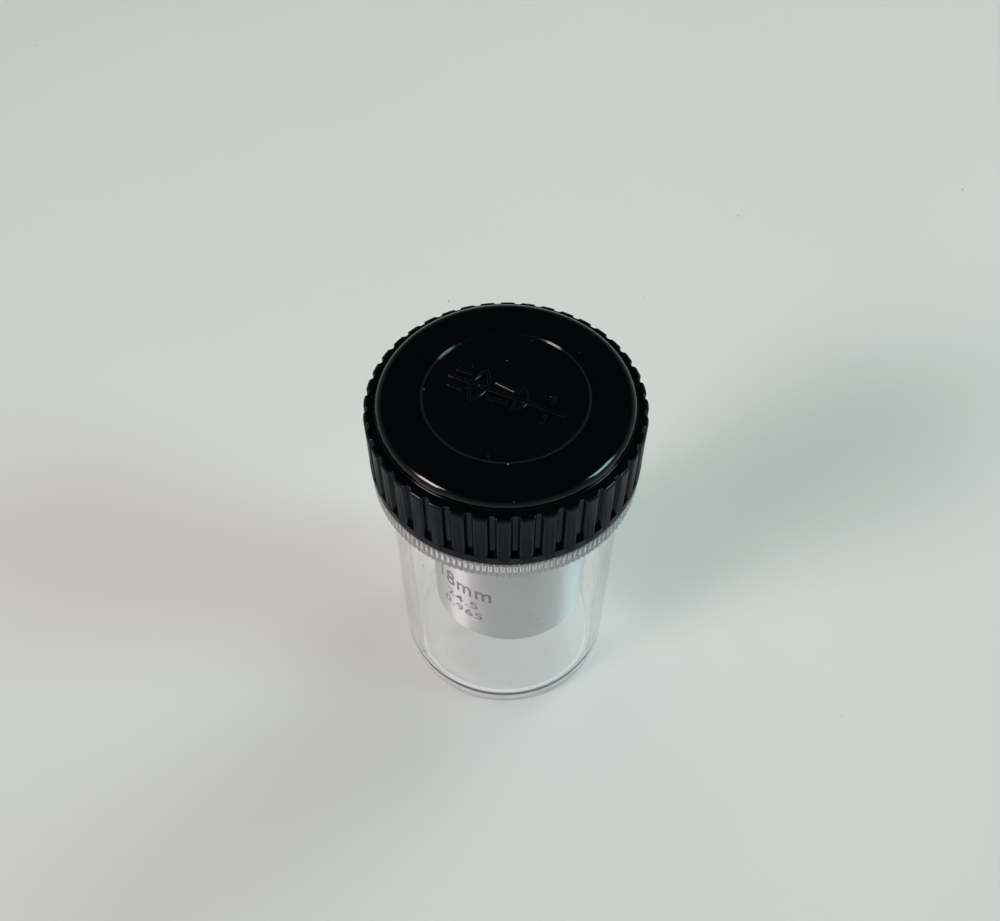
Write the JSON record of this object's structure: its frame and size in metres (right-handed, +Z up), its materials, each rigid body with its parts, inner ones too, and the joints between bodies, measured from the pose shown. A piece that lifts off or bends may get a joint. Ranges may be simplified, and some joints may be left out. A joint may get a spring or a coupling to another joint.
{
  "type": "telescope eyepiece in case",
  "caption": "Telescope eyepiece with a chromed 24.5 mm barrel and cemented-triplet optics, hanging in a clear storage jar with a black ribbed screw cap.",
  "frame": {"origin": "centre of the case's foot, on the surface it stands on", "axes": "+Z up the case towards the cap; the eyepiece hangs 0.75 mm to the +X side of the case's axis; the front of the pictured view is -Y"},
  "size_m": [0.0384, 0.0384, 0.06],
  "materials": {
    "clear_plastic": "gloss",
    "black_plastic": "satin",
    "pale_liner": "matte",
    "satin_chrome": "satin",
    "black_anodised": "satin",
    "blackened_brass": "matte",
    "crown_glass": "polished",
    "flint_glass": "polished",
    "black_steel": "satin"
  },
  "bodies": {
    "jar": {"case_jar": "clear_plastic"},
    "liner": {"cap_liner": "pale_liner"},
    "cap": {"case_cap": "black_plastic"},
    "eyepiece": {"barrel": "satin_chrome", "housing": "black_anodised", "grip_ring": "black_anodised", "eye_cap": "black_anodised", "lens_cell": "blackened_brass", "triplet_cell": "blackened_brass", "triplet_lower_element": "crown_glass", "triplet_middle_element": "flint_glass", "triplet_upper_element": "crown_glass", "triplet_retainer": "blackened_brass", "spacer_ring": "blackened_brass", "eye_lens": "crown_glass", "eye_lens_retainer": "blackened_brass", "field_stop": "blackened_brass", "field_stop_retainer": "blackened_brass", "set_screws": "black_steel", "name_ring": "black_anodised"}
  },
  "joints": [
    {"name": "cap_lift", "type": "slide", "parent": "jar", "child": "liner", "axis": [0, 0, 1], "range_m": [0, 0.1]},
    {"name": "cap_turn", "type": "hinge", "parent": "liner", "child": "cap", "pos_m": [0, 0, 0.0582], "axis": [0, 0, 1], "range_deg": [0, 7200]},
    {"name": "eyepiece_lift", "type": "slide", "parent": "jar", "child": "eyepiece", "axis": [0, 0, 1], "range_m": [0, 0.055]}
  ],
  "couplings": [
    {"joint": "cap_turn", "follows": "cap_lift", "rad_per_m": 1256.6},
    {"joint": "eyepiece_lift", "follows": "cap_lift", "ratio": 0.55}
  ]
}
